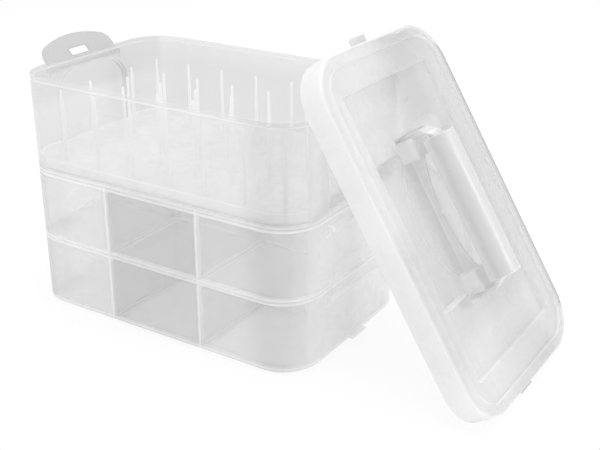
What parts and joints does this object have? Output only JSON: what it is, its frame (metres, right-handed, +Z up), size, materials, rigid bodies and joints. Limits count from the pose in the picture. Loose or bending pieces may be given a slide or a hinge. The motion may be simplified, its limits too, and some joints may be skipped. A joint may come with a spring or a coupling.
{
  "type": "sewing box with trays",
  "caption": "Stacking plastic sewing box: latched compartment trays, a thread-pin rack on top and a lid with a folding carry handle.",
  "frame": {"origin": "middle of the bottom tray's underside, where the box stands", "axes": "+Z up, +X along the box towards the end where the lid leans, -Y towards the near long side"},
  "size_m": [0.4259, 0.1696, 0.2353],
  "materials": {
    "tray_plastic": "frosted translucent polypropylene",
    "lid_plastic": "frosted translucent polypropylene",
    "handle_plastic": "frosted translucent polypropylene",
    "pin_plastic": "frosted translucent polypropylene"
  },
  "bodies": {
    "bottom_tray": {"bottom_tray": "tray_plastic", "bottom_long_divider": "tray_plastic", "bottom_near_divider_1": "tray_plastic", "bottom_near_divider_2": "tray_plastic", "bottom_far_divider_1": "tray_plastic", "bottom_far_divider_2": "tray_plastic"},
    "middle_tray": {"middle_tray": "tray_plastic", "middle_long_divider": "tray_plastic", "middle_near_divider_1": "tray_plastic", "middle_near_divider_2": "tray_plastic", "middle_far_divider_1": "tray_plastic", "middle_far_divider_2": "tray_plastic"},
    "top_tray": {"top_tray": "tray_plastic"},
    "thread_rack": {"thread_rack": "tray_plastic", "spool_pins": "pin_plastic"},
    "lid": {"lid": "lid_plastic"},
    "carry_handle": {"carry_handle": "handle_plastic"},
    "bottom_latch_left": {"bottom_latch_left": "tray_plastic"},
    "bottom_latch_right": {"bottom_latch_right": "tray_plastic"},
    "middle_latch_left": {"middle_latch_left": "tray_plastic"},
    "middle_latch_right": {"middle_latch_right": "tray_plastic"},
    "top_latch_left": {"top_latch_left": "tray_plastic"},
    "top_latch_right": {"top_latch_right": "tray_plastic"}
  },
  "joints": [
    {"name": "middle_tray_lift", "type": "slide", "parent": "bottom_tray", "child": "middle_tray", "axis": [0, 0, 1], "range_m": [0, 0.025]},
    {"name": "top_tray_lift", "type": "slide", "parent": "middle_tray", "child": "top_tray", "axis": [0, 0, 1], "range_m": [0, 0.025]},
    {"name": "thread_rack_lift", "type": "slide", "parent": "top_tray", "child": "thread_rack", "axis": [0, 0, 1], "range_m": [0, 0.08]},
    {"name": "lid_lift", "type": "slide", "parent": "top_tray", "child": "lid", "axis": [0.8507, 0, 0.5256], "range_m": [0, 0.15]},
    {"name": "handle_swing", "type": "hinge", "parent": "lid", "child": "carry_handle", "pos_m": [0.20251, 0, 0.11982], "axis": [-0.5256, 0, 0.8507], "range_deg": [-68, 68]},
    {"name": "bottom_latch_left_hinge", "type": "hinge", "parent": "bottom_tray", "child": "bottom_latch_left", "pos_m": [-0.1331, 0, 0.0502], "axis": [0, -1, 0], "range_deg": [0, 150]},
    {"name": "bottom_latch_right_hinge", "type": "hinge", "parent": "bottom_tray", "child": "bottom_latch_right", "pos_m": [0.1331, 0, 0.0502], "axis": [0, 1, 0], "range_deg": [0, 150]},
    {"name": "middle_latch_left_hinge", "type": "hinge", "parent": "middle_tray", "child": "middle_latch_left", "pos_m": [-0.1331, 0, 0.1062], "axis": [0, -1, 0], "range_deg": [0, 150]},
    {"name": "middle_latch_right_hinge", "type": "hinge", "parent": "middle_tray", "child": "middle_latch_right", "pos_m": [0.1331, 0, 0.1062], "axis": [0, 1, 0], "range_deg": [0, 150]},
    {"name": "top_latch_left_hinge", "type": "hinge", "parent": "top_tray", "child": "top_latch_left", "pos_m": [-0.1331, 0, 0.1828], "axis": [0, -1, 0], "range_deg": [-38, 112]},
    {"name": "top_latch_right_hinge", "type": "hinge", "parent": "top_tray", "child": "top_latch_right", "pos_m": [0.1331, 0, 0.1828], "axis": [0, 1, 0], "range_deg": [-78, 0]}
  ],
  "couplings": [
    {"joint": "bottom_latch_left_hinge", "follows": "middle_tray_lift", "rad_per_m": 104.72},
    {"joint": "bottom_latch_right_hinge", "follows": "middle_tray_lift", "rad_per_m": 104.72},
    {"joint": "middle_latch_left_hinge", "follows": "top_tray_lift", "rad_per_m": 104.72},
    {"joint": "middle_latch_right_hinge", "follows": "top_tray_lift", "rad_per_m": 104.72},
    {"joint": "top_latch_right_hinge", "follows": "lid_lift", "rad_per_m": -9.0757}
  ]
}
